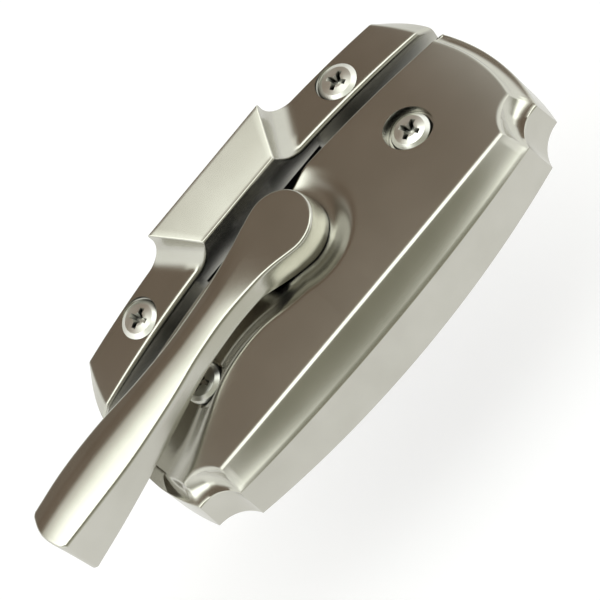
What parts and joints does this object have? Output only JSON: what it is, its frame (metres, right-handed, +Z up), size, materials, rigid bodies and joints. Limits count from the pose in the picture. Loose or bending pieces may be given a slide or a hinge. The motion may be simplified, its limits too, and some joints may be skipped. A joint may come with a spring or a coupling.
{
  "type": "sash window cam lock",
  "caption": "Crowned window lock with a swinging lever, scalloped corners and a hooded keeper whose mouth takes a crescent cam.",
  "frame": {"origin": "centre of the lock's two-screw pattern on the mounting plane", "axes": "+X along the lock, +Y from the lock to the keeper, +Z up off the sash"},
  "size_m": [0.1151, 0.0501, 0.0358],
  "materials": {
    "satin_nickel": "satin nickel plate over zinc die casting, lacquered",
    "nickel_screw": "bright nickel plated steel",
    "cam_steel": "hardened steel, plain",
    "zinc_plate": "zinc plated pressed steel",
    "steel_pin": "plain steel",
    "spring_steel": "blued spring steel",
    "acetal": "black acetal"
  },
  "bodies": {
    "lock": {"lock_housing": "satin_nickel", "pivot_bush": "acetal", "base_plate": "zinc_plate", "base_rivets": "steel_pin", "stop_pin": "steel_pin", "detent_spring": "spring_steel", "spring_rivets": "steel_pin", "lock_screw_upper": "nickel_screw", "lock_screw_lower": "nickel_screw"},
    "lever_and_cam": {"lever": "satin_nickel", "thrust_washer": "zinc_plate", "wave_washer": "spring_steel", "locking_cam": "cam_steel", "detent_hub": "cam_steel", "lock_washer": "zinc_plate", "cam_screw": "nickel_screw"},
    "keeper": {"keeper": "satin_nickel", "keeper_liner": "acetal", "keeper_screw_upper": "nickel_screw", "keeper_screw_lower": "nickel_screw"}
  },
  "joints": [
    {"name": "lever_turn", "type": "hinge", "parent": "lock", "child": "lever_and_cam", "pos_m": [0.0012, 0.0042, 0], "axis": [0, 0, 1], "range_deg": [0, 180], "deforming": ["detent_spring"]},
    {"name": "sash_slide", "type": "slide", "parent": "lock", "child": "keeper", "axis": [0, 0, 1], "range_m": [-0.03, 0]}
  ]
}
